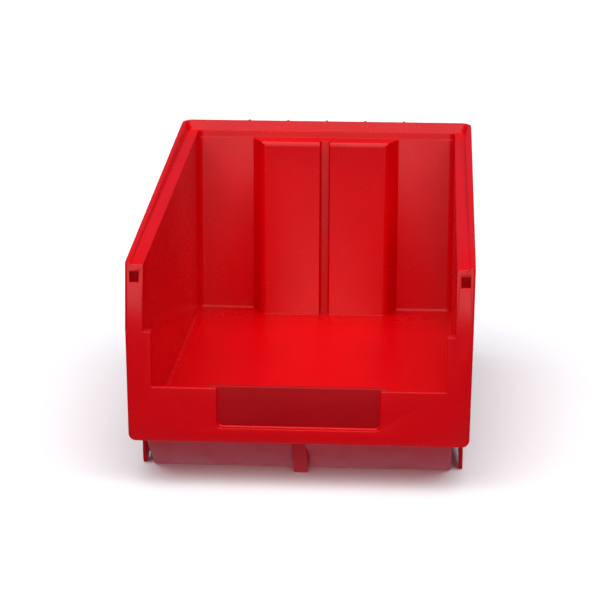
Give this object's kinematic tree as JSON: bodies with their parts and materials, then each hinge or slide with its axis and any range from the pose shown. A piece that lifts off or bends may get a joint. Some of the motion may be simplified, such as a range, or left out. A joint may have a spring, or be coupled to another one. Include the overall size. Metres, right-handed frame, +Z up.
{
  "type": "hanging parts bin",
  "caption": "Open-fronted stacking and hanging small-parts bin moulded in red plastic, with a label recess, sloping rims, a rear hanger recess and an inset base.",
  "frame": {"origin": "middle of the bin's length and width, on the plane the keel, long ribs and nibs stand on", "axes": "+X to the right of someone facing the low front, +Y from the front to the rear wall, +Z up"},
  "size_m": [0.1492, 0.234, 0.121],
  "materials": {
    "gloss_shell": "glossy injection-moulded polypropylene",
    "inside_floor": "glossy inside floor of the same moulding",
    "label_recess": "finely textured label face of the same moulding",
    "underside": "satin ribs and base of the same moulding"
  },
  "bodies": {
    "root": {"base_cross_rib_1": "underside", "base_cross_rib_2": "underside", "base_cross_rib_3": "underside", "base_front_slope_left": "underside", "base_front_slope_right": "underside", "base_long_rib_left": "underside", "base_long_rib_right": "underside", "base_rear_wall": "underside", "base_wall_left": "underside", "base_wall_right": "underside", "centre_keel": "underside", "floor_bay_left": "gloss_shell", "floor_bay_right": "gloss_shell", "floor_plate": "inside_floor", "front_ear_left": "gloss_shell", "front_ear_right": "gloss_shell", "front_post_bead_left": "gloss_shell", "front_post_bead_right": "gloss_shell", "front_post_left": "gloss_shell", "front_post_return_left": "gloss_shell", "front_post_return_right": "gloss_shell", "front_post_right": "gloss_shell", "front_wall_foot": "gloss_shell", "front_wall_left": "gloss_shell", "front_wall_right": "gloss_shell", "hanging_lip": "gloss_shell", "label_panel": "label_recess", "rear_block_cap": "gloss_shell", "rear_block_panel_left": "gloss_shell", "rear_block_panel_right": "gloss_shell", "rear_block_side_left": "gloss_shell", "rear_block_side_right": "gloss_shell", "rear_groove_channel": "gloss_shell", "rear_lip_rib_1": "gloss_shell", "rear_lip_rib_2": "gloss_shell", "rear_lip_rib_3": "gloss_shell", "rear_lip_rib_4": "gloss_shell", "rear_lip_rib_5": "gloss_shell", "rear_panel_left": "gloss_shell", "rear_panel_right": "gloss_shell", "rear_rim_band": "gloss_shell", "rear_rim_lip": "gloss_shell", "side_ledge_left": "gloss_shell", "side_ledge_right": "gloss_shell", "side_rib_1_left": "gloss_shell", "side_rib_1_right": "gloss_shell", "side_rib_2_left": "gloss_shell", "side_rib_2_right": "gloss_shell", "side_rib_3_left": "gloss_shell", "side_rib_3_right": "gloss_shell", "side_rim_lip_left": "gloss_shell", "side_rim_lip_right": "gloss_shell", "side_sill_left": "gloss_shell", "side_sill_right": "gloss_shell", "side_wall_left": "gloss_shell", "side_wall_right": "gloss_shell", "stacking_rail_left": "underside", "stacking_rail_right": "underside"}
  },
  "joints": []
}
